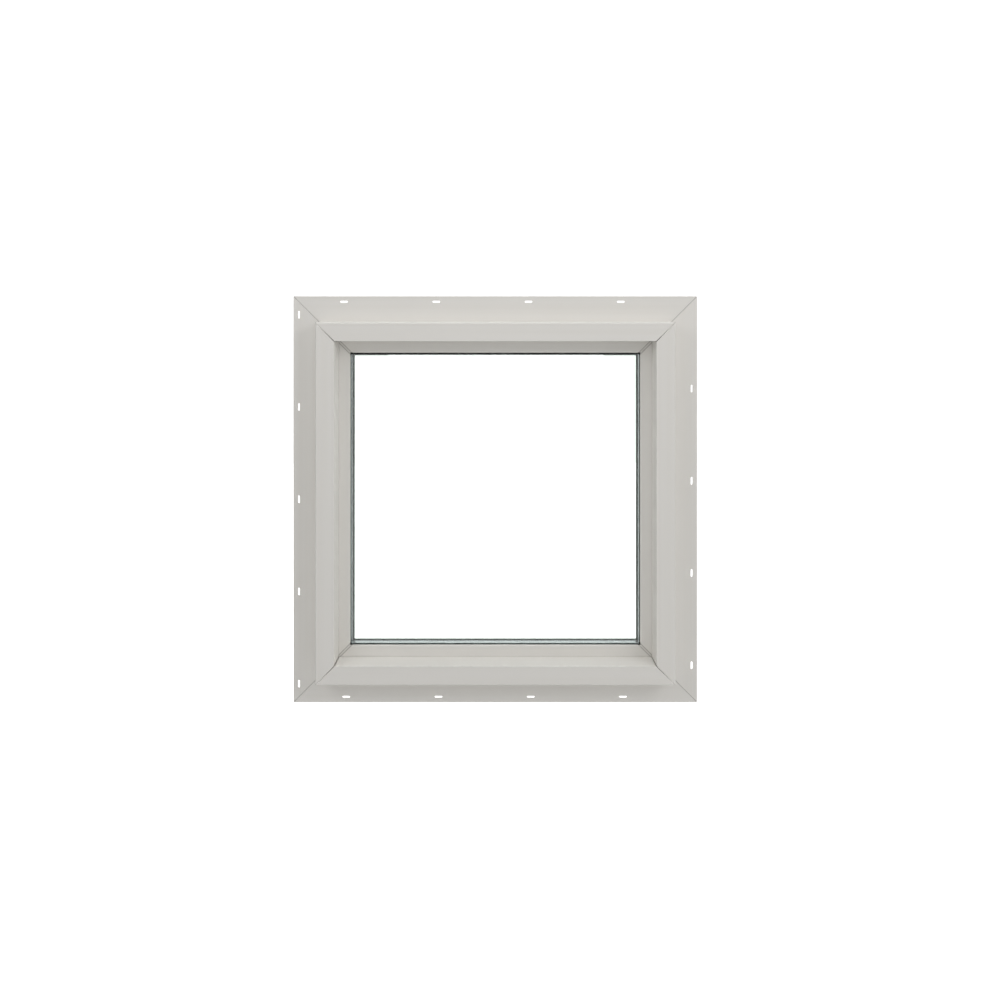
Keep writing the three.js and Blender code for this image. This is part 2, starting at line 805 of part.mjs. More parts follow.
for (const [place, height] of Object.entries(camHeights)) {
  const outline = [
    [0, -rackFace],
    [camNeck, -rackFace],
    [camNeck, -rodFace + gap],
    [camRadius, -rodFace + gap],
    [camRadius, camReach - 0.6],
    [camRadius - 0.6, camReach],
    [0, camReach],
  ];
  piece(`lock_cam_${place}`, turned(outline, "x", [sashEdgeX, grooveMiddle, height]), stainless);
}

const toothOutline = [[rootRadius, -0.15], [tipRadius, -0.05], [tipRadius, 0.05], [rootRadius, 0.15]];
const pinionPoints = [];
for (let i = 0; i < teeth; i += 1) {
  const middle = (i * 2 * Math.PI) / teeth;
  for (const [radius, offset] of toothOutline) {
    pinionPoints.push([
      handleX + radius * Math.cos(middle + offset),
      radius * Math.sin(middle + offset),
    ]);
  }
}
const square = (half) => [[-1, -1], [1, -1], [1, 1], [-1, 1]].map(([x, z]) => [handleX + x * half, z * half]);
piece("pinion", slab(pinionPoints, [gearFront, gearBack], [square(spindleSize / 2 + gap / 2)]), zincPlate);

const caseHalfDepth = grooveWidth / 2 - gap - 1.2;
piece(
  "gearbox_case",
  cut(
    block(
      [sashEdgeX - caseInset[1], sashEdgeX - caseInset[0]],
      [grooveMiddle - caseHalfDepth, grooveMiddle + caseHalfDepth],
      [-caseHalfHeight, caseHalfHeight],
    ),
    cylinder("y", [handleX, 0, 0], tipRadius + gap, gearFront - gap, gearBack + gap, 32),
    cylinder("y", [handleX, 0, 0], spindleSize * 0.8, gearBack, grooveBack),
    ...handleScrewHeights.map((height) =>
      cylinder("y", [handleX, 0, height], 2.5, grooveMiddle - 2, grooveBack),
    ),
  ),
  zincPlate,
);

// ---- Handle ----

const baseThickness = 5;
const coverThickness = 2.6;
const baseBack = sashFace + baseThickness;
const coverFront = baseBack + gap;
const coverBack = coverFront + coverThickness;
const neckRadius = 8.5;
const cornerRadius = 6;
const around = (points) => points.map(([x, z]) => [x + handleX, z]);

piece(
  "handle_base",
  cut(
    slab(around(roundedRectangle(baseWidth, baseHeight, cornerRadius, 4)), [sashFace, baseBack]),
    cylinder("y", [handleX, 0, 0], neckRadius + gap, sashFace + 1.5, baseBack + 1),
    cylinder("y", [handleX, 0, 0], spindleSize * 0.8, sashFace - 1, baseBack),
    ...handleScrewHeights.map((height) =>
      countersunkHole("y", [handleX, baseBack - 0.4, height], -1, { head: 4.2, shank: 2.2, sink: 2.4 }),
    ),
  ),
  whitePaint,
);
handleScrewHeights.forEach((height, i) => {
  const body = countersunkScrew("y", [handleX, baseBack - 0.4, height], -1, {
    head: 4.2,
    shank: 2.2,
    sink: 2.4,
    length: baseBack - 0.4 - grooveMiddle + 0.5,
  });
  piece(`handle_screw_${i + 1}`, body, zincPlate);
});
piece(
  "handle_cover",
  cut(
    slab(around(roundedRectangle(baseWidth, baseHeight, cornerRadius, 4)), [coverFront, coverBack]),
    cylinder("y", [handleX, 0, 0], neckRadius + gap, coverFront - 1, coverBack + 1),
  ),
  whitePaint,
);

// The lever's side view: the neck rises from the base, and the grip runs up from it and thins to its end.
const neckFoot = sashFace + 1.5 + gap;
const gripFront = coverBack + 12;
const leverSide = new THREE.Shape();
leverSide.moveTo(-neckRadius, coverBack + 1);
leverSide.lineTo(neckRadius, coverBack + 1);
leverSide.quadraticCurveTo(neckRadius + 1, gripFront, neckRadius + 14, gripFront + 1);
leverSide.lineTo(leverLength - 3, gripFront + 3);
leverSide.quadraticCurveTo(leverLength, gripFront + 3.5, leverLength, gripFront + 6);
leverSide.quadraticCurveTo(leverLength, gripFront + 9, leverLength - 4, gripFront + 9.2);
leverSide.quadraticCurveTo(leverLength / 2, gripFront + 14, neckRadius, gripFront + 11.5);
leverSide.quadraticCurveTo(-neckRadius - 1.5, gripFront + 10, -neckRadius - 0.5, gripFront + 3);
leverSide.closePath();
const gripWidth = 17;
const gripBevel = 3;
const grip = new THREE.ExtrudeGeometry(leverSide, {
  depth: gripWidth - 2 * gripBevel,
  curveSegments: 6,
  bevelThickness: gripBevel,
  bevelSize: 2,
  bevelOffset: -2,
  bevelSegments: 3,
});
// Drawn as (height, depth) and extruded along X: turn the drawing so that its first axis points up.
const upright = new THREE.Matrix4().makeBasis(
  new THREE.Vector3(0, 0, 1),
  new THREE.Vector3(0, 1, 0),
  new THREE.Vector3(-1, 0, 0),
);
grip.applyMatrix4(upright);
grip.translate(handleX + gripWidth / 2 - gripBevel, 0, 0);
piece(
  "handle_lever",
  cut(
    join(solid(grip), cylinder("y", [handleX, 0, 0], neckRadius, neckFoot, gripFront + 6)),
    block(
      [handleX - spindleSize / 2 - gap / 2, handleX + spindleSize / 2 + gap / 2],
      [neckFoot - 1, coverBack + 8 + gap],
      [-spindleSize / 2 - gap / 2, spindleSize / 2 + gap / 2],
    ),
  ),
  whitePaint,
);
piece(
  "handle_spindle",
  block(
    [handleX - spindleSize / 2, handleX + spindleSize / 2],
    [gearFront, coverBack + 8],
    [-spindleSize / 2, spindleSize / 2],
  ),
  zincPlate,
);

export default casement;
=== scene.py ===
import json
from math import pi

import bmesh
import bpy
from mathutils import Matrix, Vector

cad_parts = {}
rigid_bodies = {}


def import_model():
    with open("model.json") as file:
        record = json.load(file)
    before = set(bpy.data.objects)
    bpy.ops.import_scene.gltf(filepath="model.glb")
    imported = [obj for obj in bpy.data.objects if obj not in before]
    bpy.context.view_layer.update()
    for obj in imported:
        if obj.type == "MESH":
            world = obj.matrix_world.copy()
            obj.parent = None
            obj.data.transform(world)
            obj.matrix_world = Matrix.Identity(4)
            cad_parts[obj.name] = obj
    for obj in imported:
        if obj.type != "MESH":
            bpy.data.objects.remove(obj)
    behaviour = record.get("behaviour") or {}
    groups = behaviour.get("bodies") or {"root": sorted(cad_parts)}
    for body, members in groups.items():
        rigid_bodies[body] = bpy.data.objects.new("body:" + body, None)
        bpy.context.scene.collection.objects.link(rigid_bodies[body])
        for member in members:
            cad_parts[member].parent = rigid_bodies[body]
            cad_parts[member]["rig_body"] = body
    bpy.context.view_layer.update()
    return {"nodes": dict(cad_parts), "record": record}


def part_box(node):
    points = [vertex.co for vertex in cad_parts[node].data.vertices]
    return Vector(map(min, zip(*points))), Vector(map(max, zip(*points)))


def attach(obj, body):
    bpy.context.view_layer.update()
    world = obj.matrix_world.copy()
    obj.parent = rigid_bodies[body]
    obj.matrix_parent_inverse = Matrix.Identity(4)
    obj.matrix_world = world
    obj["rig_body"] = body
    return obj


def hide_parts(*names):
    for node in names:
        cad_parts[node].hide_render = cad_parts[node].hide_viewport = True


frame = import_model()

MM = 0.001
NUMBER = (int, float)

# Each ring of members, named by the side of the window that it is on.
FRAME = {
    "bottom": "frame_sill",
    "top": "frame_head",
    "left": "frame_jamb_left",
    "right": "frame_jamb_right",
}
SASH = {
    "bottom": "sash_bottom_rail",
    "top": "sash_top_rail",
    "left": "sash_hinge_stile",
    "right": "sash_lock_stile",
}
BEADS = {
    "bottom": "bead_bottom",
    "top": "bead_top",
    "left": "bead_hinge_side",
    "right": "bead_lock_side",
}
OUTWARD = {
    "bottom": Vector((0, 0, -1)),
    "top": Vector((0, 0, 1)),
    "left": Vector((-1, 0, 0)),
    "right": Vector((1, 0, 0)),
}

low = Vector([min(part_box(name)[0][k] for name in FRAME.values()) for k in range(3)])
high = Vector([max(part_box(name)[1][k] for name in FRAME.values()) for k in range(3)])
middle = Vector(((low.x + high.x) / 2, 0, (low.z + high.z) / 2))
half_size = Vector(((high.x - low.x) / 2, 0, (high.z - low.z) / 2))  # to the fin's outer edges


# ---- Camera ----

DISTANCE = 1.45  # from the fin's back face, straight out
CAMERA_RISE = 0.331  # above the window's middle
CAMERA_SIDE = 0.0012  # to the right of the window's middle
PICTURE_WIDTH = 1.6924  # what the picture's side covers at the fin
SENSOR = 36.0
SIDE_SHIFT = 0.004  # the lens's shift, in picture widths
DOWN_SHIFT = -0.1965

camera_data = bpy.data.cameras.new("camera")
camera_data.sensor_width = SENSOR
camera_data.lens = SENSOR * DISTANCE / PICTURE_WIDTH
camera_data.shift_x = SIDE_SHIFT
camera_data.shift_y = DOWN_SHIFT
camera = bpy.data.objects.new("camera", camera_data)
camera.location = (middle.x + CAMERA_SIDE, -DISTANCE, middle.z + CAMERA_RISE)
camera.rotation_euler = (pi / 2, 0, 0)
bpy.context.scene.collection.objects.link(camera)
bpy.context.scene.camera = camera


# ---- Node helpers ----


def linear(code):
    """An sRGB hex colour as a linear RGBA tuple."""
    parts = [int(code[i : i + 2], 16) / 255 for i in (1, 3, 5)]
    return (*[p / 12.92 if p <= 0.04045 else ((p + 0.055) / 1.055) ** 2.4 for p in parts], 1.0)


def add(tree, kind, inputs=None, **settings):
    """Adds a node to a tree. An input given as a socket is linked, and any other is set as a value."""
    made = tree.nodes.new(kind)
    for name, value in settings.items():
        setattr(made, name, value)
    for name, value in (inputs or {}).items():
        if isinstance(value, bpy.types.NodeSocket):
            tree.links.new(value, made.inputs[name])
        else:
            made.inputs[name].default_value = value
    return made


def new_material(name):
    material = bpy.data.materials.new(name)
    material.use_nodes = True
    tree = material.node_tree
    tree.nodes.clear()
    shader = add(tree, "ShaderNodeBsdfPrincipled")
    add(tree, "ShaderNodeOutputMaterial", {"Surface": shader.outputs["BSDF"]})
    where = add(tree, "ShaderNodeTexCoord").outputs["Object"]
    return material, tree, shader, where


def link(tree, source, target):
    tree.links.new(source, target)


def sums(tree, operation, *values):
    """One step of arithmetic on sockets or numbers."""
    step = add(tree, "ShaderNodeMath", operation=operation)
    for socket, value in zip(step.inputs, values):
        if isinstance(value, NUMBER):
            socket.default_value = value
        else:
            tree.links.new(value, socket)
    return step.outputs[0]


def mottled(tree, where, scale, pale, dark, detail=4.0):
    """A soft mix of two hex colours by noise with cells of about 1 / scale metres."""
    noise = add(tree, "ShaderNodeTexNoise", {"Vector": where, "Scale": scale, "Detail": detail})
    ramp = add(
        tree,
        "ShaderNodeMix",
        {"Factor": noise.outputs["Fac"], 6: linear(dark), 7: linear(pale)},
        data_type="RGBA",
    )
    return ramp.outputs[2], noise.outputs["Fac"]


# ---- Materials ----


def extruded_vinyl(name, stretch, pale="#f2f0ec", dark="#ece9e3"):
    """Rigid PVC pushed through a steel die: satin white, in soft bands and fine lines along its length.

    The "seam" attribute says where shade is painted into the welds' grooves and seams, and draws it as a
    thin grey-brown line of painted shade.
    """
    material, tree, shader, where = new_material(name)
    along = add(tree, "ShaderNodeMapping", {"Vector": where, "Scale": stretch}).outputs["Vector"]
    colour, _ = mottled(tree, along, BAND_SCALE, pale, dark, 2.0)
    # Painted shade: the welds' grooves and seams are darkened towards grey-brown, where shade would fall in
    # them.
    painted_seam_shade = add(tree, "ShaderNodeAttribute", attribute_name="seam").outputs["Fac"]
    painted_shade_amount = sums(tree, "MULTIPLY", sums(tree, "POWER", painted_seam_shade, PAINTED_SHADE_FALLOFF), PAINTED_SHADE_STRENGTH)
    marked = add(
        tree,
        "ShaderNodeMix",
        {"Factor": painted_shade_amount, 6: colour, 7: linear(PAINTED_SHADE_COLOUR)},
        data_type="RGBA",
    )
    link(tree, marked.outputs[2], shader.inputs["Base Color"])
    lines = add(
        tree,
        "ShaderNodeTexNoise",
        {"Vector": along, "Scale": DIE_LINE_SCALE, "Detail": 3.0, "Roughness": 0.6},
    ).outputs["Fac"]
    gloss = add(
        tree,
        "ShaderNodeMapRange",
        {"Value": lines, "From Min": 0.3, "From Max": 0.7, "To Min": 0.33, "To Max": 0.42},
    )
    link(tree, gloss.outputs["Result"], shader.inputs["Roughness"])
    bump = add(tree, "ShaderNodeBump", {"Height": lines, "Strength": 0.18, "Distance": 0.05 * MM})
    link(tree, bump.outputs["Normal"], shader.inputs["Normal"])
    shader.inputs["IOR"].default_value = 1.53
    return material


BAND_SCALE = 100.0  # bands about 10 mm wide
DIE_LINE_SCALE = 420.0  # lines about 2.4 mm apart, drawn coarser than the real ones so that they show
# The grey-brown of the painted shade in the welds' grooves and seams.
PAINTED_SHADE_COLOUR = "#76716a"
PAINTED_SHADE_STRENGTH = 0.8  # how far the deepest painted shade darkens the vinyl
PAINTED_SHADE_FALLOFF = 1.6
LINES_ALONG_X = (0.012, 1.0, 1.0)
LINES_ALONG_Z = (1.0, 1.0, 0.012)
vinyl_across = extruded_vinyl("white_pvc_extruded_across", LINES_ALONG_X)
vinyl_upright = extruded_vinyl("white_pvc_extruded_upright", LINES_ALONG_Z)


def extruded_rubber(name, pale, dark, roughness):
    """EPDM seal: dull and dark, slightly dusty, so that only its edges catch light."""
    material, tree, shader, where = new_material(name)
    colour, grain = mottled(tree, where, 600.0, pale, dark)
    link(tree, colour, shader.inputs["Base Color"])
    bump = add(tree, "ShaderNodeBump", {"Height": grain, "Strength": 0.2, "Distance": 0.08 * MM})
    link(tree, bump.outputs["Normal"], shader.inputs["Normal"])
    shader.inputs["Roughness"].default_value = roughness
    shader.inputs["IOR"].default_value = 1.5
    return material


black_epdm = extruded_rubber("black_epdm_gasket", "#202423", "#161918", 0.6)
grey_epdm = extruded_rubber("grey_epdm_bulb_seal", "#5c615f", "#484d4b", 0.7)
black_butyl = extruded_rubber("black_polysulphide_sealant", "#26282a", "#1a1b1d", 0.55)


def float_glass():
    """Clear float glass: colourless from the front, with the faint green of iron in its thickness."""
    material, tree, shader, where = new_material("clear_float_glass")
    colour, _ = mottled(tree, where, 3.0, "#fcfffd", "#f8fdfa")
    link(tree, colour, shader.inputs["Base Color"])
    shader.inputs["Roughness"].default_value = 0.0
    shader.inputs["IOR"].default_value = 1.52
    shader.inputs["Transmission Weight"].default_value = 1.0
    return material


clear_glass = float_glass()


GLOSS_SPREAD = 0.06  # how far a metal's roughness strays to each side of its own


def metal(name, pale, dark, roughness, scale, stretch=(1.0, 1.0, 1.0)):
    """A metal whose finish shows as soft patches or lines of a slightly different grey."""
    material, tree, shader, where = new_material(name)
    along = add(tree, "ShaderNodeMapping", {"Vector": where, "Scale": stretch}).outputs["Vector"]
    colour, grain = mottled(tree, along, scale, pale, dark)
    link(tree, colour, shader.inputs["Base Color"])
    gloss = add(
        tree,
        "ShaderNodeMapRange",
        {
            "Value": grain,
            "From Min": 0.3,
            "From Max": 0.7,
            "To Min": roughness - GLOSS_SPREAD,
            "To Max": roughness + GLOSS_SPREAD,
        },
    )
    link(tree, gloss.outputs["Result"], shader.inputs["Roughness"])
    bump = add(tree, "ShaderNodeBump", {"Height": grain, "Strength": 0.12, "Distance": 0.03 * MM})
    link(tree, bump.outputs["Normal"], shader.inputs["Normal"])
    shader.inputs["Metallic"].default_value = 1.0
    return material


# Rolled spacer strip: fine lines along it. Zinc plate: cloudy. Turned stainless: rings round the pin.
mill_aluminium = metal("mill_finish_aluminium", "#c3c7ca", "#a9adb0", 0.34, 500.0, (0.05, 1.0, 1.0))
zinc_plate = metal("zinc_plated_steel", "#c9ccc8", "#a9ada8", 0.36, 160.0)
turned_stainless = metal("turned_stainless_steel", "#cfd0cf", "#b7b9b9", 0.24, 900.0, (0.1, 0.1, 1.0))


def powder_coat():
    """White polyester powder on die-cast metal: a soft gloss with a faint orange-peel waviness."""
    material, tree, shader, where = new_material("white_powder_coat")
    colour, _ = mottled(tree, where, 20.0, "#f2f1ec", "#eeece6")
    link(tree, colour, shader.inputs["Base Color"])
    peel = add(tree, "ShaderNodeTexNoise", {"Vector": where, "Scale": 900.0, "Detail": 1.0}).outputs["Fac"]
    bump = add(tree, "ShaderNodeBump", {"Height": peel, "Strength": 0.15, "Distance": 0.05 * MM})
    link(tree, bump.outputs["Normal"], shader.inputs["Normal"])
    shader.inputs["Roughness"].default_value = 0.3
    shader.inputs["IOR"].default_value = 1.5
    shader.inputs["Coat Weight"].default_value = 0.2
    shader.inputs["Coat Roughness"].default_value = 0.12
    return material


white_powder = powder_coat()
moulded_nylon = extruded_rubber("moulded_dark_nylon", "#45484b", "#3a3d40", 0.45)


# ---- Making pieces ----


def new_tree(name, sizes):
    """A geometry tree whose inputs are its geometry, its named sizes and a material."""
    tree = bpy.data.node_groups.new(name, "GeometryNodeTree")
    tree.interface.new_socket("Geometry", in_out="INPUT", socket_type="NodeSocketGeometry")
    for size in sizes:
        kind = "NodeSocketInt" if size.endswith("count") else "NodeSocketFloat"
        tree.interface.new_socket(size, in_out="INPUT", socket_type=kind)
    tree.interface.new_socket("Material", in_out="INPUT", socket_type="NodeSocketMaterial")
    tree.interface.new_socket("Geometry", in_out="OUTPUT", socket_type="NodeSocketGeometry")
    return tree, add(tree, "NodeGroupInput").outputs


def close_tree(tree, given, geometry):
    whole = add(tree, "GeometryNodeRealizeInstances", {"Geometry": geometry})
    dressed = add(
        tree, "GeometryNodeSetMaterial", {"Geometry": whole.outputs[0], "Material": given["Material"]}
    )
    add(tree, "NodeGroupOutput", {"Geometry": dressed.outputs[0]})


def grow(host, tree, sizes, material):
    """Runs a tree on a host object and leaves the plain mesh that comes out."""
    growth = host.modifiers.new("growth", "NODES")
    growth.node_group = tree
    for item in tree.interface.items_tree:
        if item.in_out == "INPUT" and item.name in sizes:
            growth[item.identifier] = sizes[item.name]
        if item.in_out == "INPUT" and item.name == "Material":
            growth[item.identifier] = material
    settle(host)


def settle(piece):
    """Applies a piece's modifiers."""
    dg = bpy.context.evaluated_depsgraph_get()
    finished = bpy.data.meshes.new_from_object(piece.evaluated_get(dg))
    piece.modifiers.clear()
    piece.data = finished


def new_piece(name, mesh):
    piece = bpy.data.objects.new(name, mesh)
    bpy.context.scene.collection.objects.link(piece)
    return piece


def merged_form(node):
    """A CAD node's loose triangles as one joined form with whole flat faces."""
    form = bmesh.new()
    form.from_mesh(frame["nodes"][node].data)
    bmesh.ops.remove_doubles(form, verts=form.verts, dist=2e-6)
    bmesh.ops.dissolve_limit(form, angle_limit=0.01, verts=form.verts, edges=form.edges)
    return form


def dress(piece, material, node_names, sharp=0.75):
    """Gives a settled piece its normals, material and body, and lets it stand for its CAD nodes."""
    form = bmesh.new()
    form.from_mesh(piece.data)
    bmesh.ops.remove_doubles(form, verts=form.verts, dist=1e-6)
    bmesh.ops.recalc_face_normals(form, faces=form.faces)
    for face in form.faces:
        face.smooth = True
    for edge in form.edges:
        edge.smooth = len(edge.link_faces) == 2 and edge.calc_face_angle() < sharp
    form.to_mesh(piece.data)
    form.free()
    even = piece.modifiers.new("flat faces stay flat", "WEIGHTED_NORMAL")
    even.keep_sharp = True
    even.weight = 100
    settle(piece)
    piece.data.materials.clear()
    piece.data.materials.append(material)
    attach(piece, frame["nodes"][node_names[0]]["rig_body"])
    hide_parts(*node_names)
    return piece


def rounded_copy(node, material, radius_mm, segments=3):
    """A CAD node's own shape with its hard edges rounded."""
    mesh = bpy.data.meshes.new(node + "_finished")
    form = merged_form(node)
    form.to_mesh(mesh)
    form.free()
    piece = new_piece(node + "_finished", mesh)
    bevel = piece.modifiers.new("rounded edges", "BEVEL")
    bevel.width = radius_mm * MM
    bevel.segments = segments
    bevel.limit_method = "ANGLE"
    bevel.angle_limit = 0.5
    settle(piece)
    return dress(piece, material, [node])


# ---- Welded members ----

PUNCH_REACH = 4 * MM  # half of a slot punch's length, which is well over the fin's thickness


def member_tree():
    """A section run along Z and mitred at both ends, with a cleaned weld and a seam at each mitre.

    The section lies in XY: X is depth, and Y is the distance in from the fin's edge.
    """
    sizes = (
        "Half length",
        "Edge radius",
        "Weld width",
        "Weld ramp",
        "Weld depth",
        "Seam depth",
        "Weld shade",
        "Seam shade",
        "Face start",
        "Face share",
        "Slot count",
        "Slot start",
        "Slot pitch",
        "Slot length",
        "Slot width",
        "Slot line",
        "Fin depth",
    )
    tree, given = new_tree("welded_member", sizes)

    # The section's corners are rounded, and it runs through six stations 1 apart, three for each end.
    outline = add(tree, "GeometryNodeMeshToCurve", {"Mesh": given["Geometry"]})
    rounded = add(
        tree,
        "GeometryNodeFilletCurve",
        {"Curve": outline.outputs[0], "Count": 3, "Radius": given["Edge radius"], "Limit Radius": True},
        mode="POLY",
    )
    line = add(tree, "GeometryNodeCurvePrimitiveLine", {"Start": (0, 0, -2.5), "End": (0, 0, 2.5)})
    stations = add(tree, "GeometryNodeResampleCurve", {"Curve": line.outputs[0], "Count": 6})
    run = add(
        tree,
        "GeometryNodeCurveToMesh",
        {"Curve": stations.outputs[0], "Profile Curve": rounded.outputs[0], "Fill Caps": True},
    )

    # Station 3 is the mitre, 2 is the weld's edge, and 1 is where the plain length begins.
    here = add(tree, "ShaderNodeSeparateXYZ", {0: add(tree, "GeometryNodeInputPosition").outputs[0]}).outputs
    station = sums(tree, "ADD", sums(tree, "ABSOLUTE", here["Z"]), 0.5)
    past_weld = sums(tree, "MINIMUM", sums(tree, "SUBTRACT", 3, station), 1)
    past_ramp = sums(tree, "MAXIMUM", sums(tree, "SUBTRACT", 2, station), 0)
    back = sums(
        tree,
        "ADD",
        sums(tree, "MULTIPLY", past_weld, given["Weld width"]),
        sums(tree, "MULTIPLY", past_ramp, given["Weld ramp"]),
    )
    at_weld = sums(tree, "SUBTRACT", 1, sums(tree, "ABSOLUTE", sums(tree, "SUBTRACT", station, 2)))
    at_seam = sums(tree, "MAXIMUM", sums(tree, "SUBTRACT", station, 2), 0)
    depth = sums(
        tree,
        "ADD",
        sums(tree, "MULTIPLY", at_weld, given["Weld depth"]),
        sums(tree, "MULTIPLY", at_seam, given["Seam depth"]),
    )

    # The painted seam shade is marked before the stations move, while a point still says which station it is
    # at.
    shade = sums(
        tree,
        "ADD",
        sums(tree, "MULTIPLY", at_weld, given["Weld shade"]),
        sums(tree, "MULTIPLY", at_seam, given["Seam shade"]),
    )
    on_face = sums(tree, "GREATER_THAN", here["Y"], given["Face start"])
    lost = sums(tree, "MULTIPLY", on_face, sums(tree, "SUBTRACT", 1, given["Face share"]))
    kept = sums(tree, "SUBTRACT", 1, lost)
    marked = add(
        tree,
        "GeometryNodeStoreNamedAttribute",
        {"Geometry": run.outputs[0], "Name": "seam", "Value": sums(tree, "MULTIPLY", shade, kept)},
        data_type="FLOAT",
        domain="POINT",
    )

    # Each station then goes to its place short of the mitre.
    reach = sums(tree, "SUBTRACT", sums(tree, "SUBTRACT", given["Half length"], here["Y"]), back)
    along = sums(tree, "MULTIPLY", sums(tree, "SIGN", here["Z"]), reach)
    place = add(tree, "ShaderNodeCombineXYZ", {"X": here["X"], "Y": here["Y"], "Z": along})
    inward = add(tree, "GeometryNodeInputNamedAttribute", {"Name": "inward"}, data_type="FLOAT_VECTOR")
    sunk = add(
        tree, "ShaderNodeVectorMath", {0: inward.outputs[0], "Scale": depth}, operation="SCALE"
    )
    body = add(
        tree,
        "GeometryNodeSetPosition",
        {"Geometry": marked.outputs[0], "Position": place.outputs[0], "Offset": sunk.outputs[0]},
    )

    # Round-ended slots are punched through the fin.
    blank = add(
        tree,
        "GeometryNodeCurvePrimitiveQuadrilateral",
        {"Width": given["Slot length"], "Height": given["Slot width"]},
    )
    slot = add(
        tree,
        "GeometryNodeFilletCurve",
        {
            "Curve": blank.outputs[0],
            "Count": 6,
            "Radius": sums(tree, "MULTIPLY", given["Slot width"], 0.49),
            "Limit Radius": True,
        },
        mode="POLY",
    )
    stroke = add(
        tree, "GeometryNodeCurvePrimitiveLine", {"Start": (0, 0, -PUNCH_REACH), "End": (0, 0, PUNCH_REACH)}
    )
    punch = add(
        tree,
        "GeometryNodeCurveToMesh",
        {"Curve": stroke.outputs[0], "Profile Curve": slot.outputs[0], "Fill Caps": True},
    )
    turned = add(
        tree, "GeometryNodeTransform", {"Geometry": punch.outputs[0], "Rotation": (0, pi / 2, 0)}
    )
    first = add(
        tree,
        "ShaderNodeCombineXYZ",
        {"X": given["Fin depth"], "Y": given["Slot line"], "Z": given["Slot start"]},
    )
    step = add(tree, "ShaderNodeCombineXYZ", {"Z": given["Slot pitch"]})
    row = add(
        tree,
        "GeometryNodeMeshLine",
        {"Count": given["Slot count"], "Start Location": first.outputs[0], "Offset": step.outputs[0]},
    )
    punches = add(
        tree, "GeometryNodeInstanceOnPoints", {"Points": row.outputs[0], "Instance": turned.outputs[0]}
    )
    tools = add(tree, "GeometryNodeRealizeInstances", {"Geometry": punches.outputs[0]})
    punched = add(
        tree,
        "GeometryNodeMeshBoolean",
        {"Mesh 1": body.outputs[0], "Mesh 2": tools.outputs[0]},
        operation="DIFFERENCE",
        solver="EXACT",
    )
    close_tree(tree, given, punched.outputs[0])
    return tree


def member_space(side):
    """From a member's own space (depth, inset, along) to the window's."""
    out = OUTWARD[side]
    edge = middle + out * abs(out.dot(half_size))
    depth = Vector((0, 1, 0))
    turn = Matrix((depth, -out, depth.cross(-out))).transposed()
    return Matrix.Translation(edge) @ turn.to_4x4()


def half_length(side):
    return half_size.x if OUTWARD[side].z else half_size.z


def outer_loop(form):
    """The points of the largest closed loop of edges, in order."""
    best, best_area = [], 0
    left = set(form.verts)
    while left:
        start = left.pop()
        loop, back, at = [start], None, start
        while True:
            ahead = [e.other_vert(at) for e in at.link_edges if e.other_vert(at) is not back]
            if not ahead or ahead[0] is start:
                break
            back, at = at, ahead[0]
            if at not in left:
                break
            left.discard(at)
            loop.append(at)
        points = [v.co.xy for v in loop]
        area = sum(p.cross(q) for p, q in zip(points, points[1:] + points[:1])) / 2
        if abs(area) > abs(best_area):
            best, best_area = points, area
    return best if best_area > 0 else best[::-1]


def section_of(node, side, where):
    """The outline of a member's section at a place along it, as corner points."""
    form = merged_form(node)
    bmesh.ops.transform(form, matrix=member_space(side).inverted(), verts=form.verts)
    everything = form.verts[:] + form.edges[:] + form.faces[:]
    bmesh.ops.bisect_plane(
        form,
        geom=everything,
        dist=1e-7,
        plane_co=(0, 0, where),
        plane_no=(0, 0, 1),
        clear_outer=True,
        clear_inner=True,
    )
    bmesh.ops.remove_doubles(form, verts=form.verts, dist=2e-6)
    loop = outer_loop(form)
    form.free()
    corners = []
    for before, at, after in zip(loop[-1:] + loop[:-1], loop, loop[1:] + loop[:1]):
        if abs((at - before).normalized().cross((after - at).normalized())) > 0.01:
            corners.append(at)
    return corners


def outline_mesh(name, corners):
    """A closed outline whose corners know how far in a unit of inset moves them."""
    mesh = bpy.data.meshes.new(name)
    count = len(corners)
    mesh.from_pydata(
        [(p.x, p.y, 0) for p in corners], [(i, (i + 1) % count) for i in range(count)], []
    )
    inward = mesh.attributes.new("inward", "FLOAT_VECTOR", "POINT")
    for i, at in enumerate(corners):
        before = (at - corners[i - 1]).normalized()
        after = (corners[(i + 1) % count] - at).normalized()
        first, second = Vector((-before.y, before.x)), Vector((-after.y, after.x))
        way = (first + second) / (1 + max(first.dot(second), 0))
        inward.data[i].vector = (way.x, way.y, 0)
    return mesh


welded_member = member_tree()
SECTION_PLACE = 0.08  # clear of slots, screws and the gearbox

# Finishes of a mitre, in millimetres, or in thousandths for the shades and the share. The shades say how
# much painted shade lies at the weld's edge and in its seam, and the share how much of it is left on the
# face.
FRAME_WELD = {
    "Edge radius": 0.5,
    "Weld width": 1.5,
    "Weld ramp": 0.1,
    "Weld depth": 0.0,
    "Seam depth": 0.6,
    "Weld shade": 0.0,
    "Seam shade": 1200.0,
    "Face start": 44.0,
    "Face share": 450.0,
}
SASH_WELD = {
    "Edge radius": 0.35,
    "Weld width": 3.2,
    "Weld ramp": 0.7,
    "Weld depth": 0.45,
    "Seam depth": 0.4,
    "Weld shade": 900.0,
    "Seam shade": 100.0,
    "Face start": 0.0,
    "Face share": 1000.0,
}
BEAD_CUT = {
    "Edge radius": 0.4,
    "Weld width": 0.2,
    "Weld ramp": 0.1,
    "Weld depth": 0.0,
    "Seam depth": 0.15,
    "Weld shade": 0.0,
    "Seam shade": 500.0,
    "Face start": 0.0,
    "Face share": 1000.0,
}

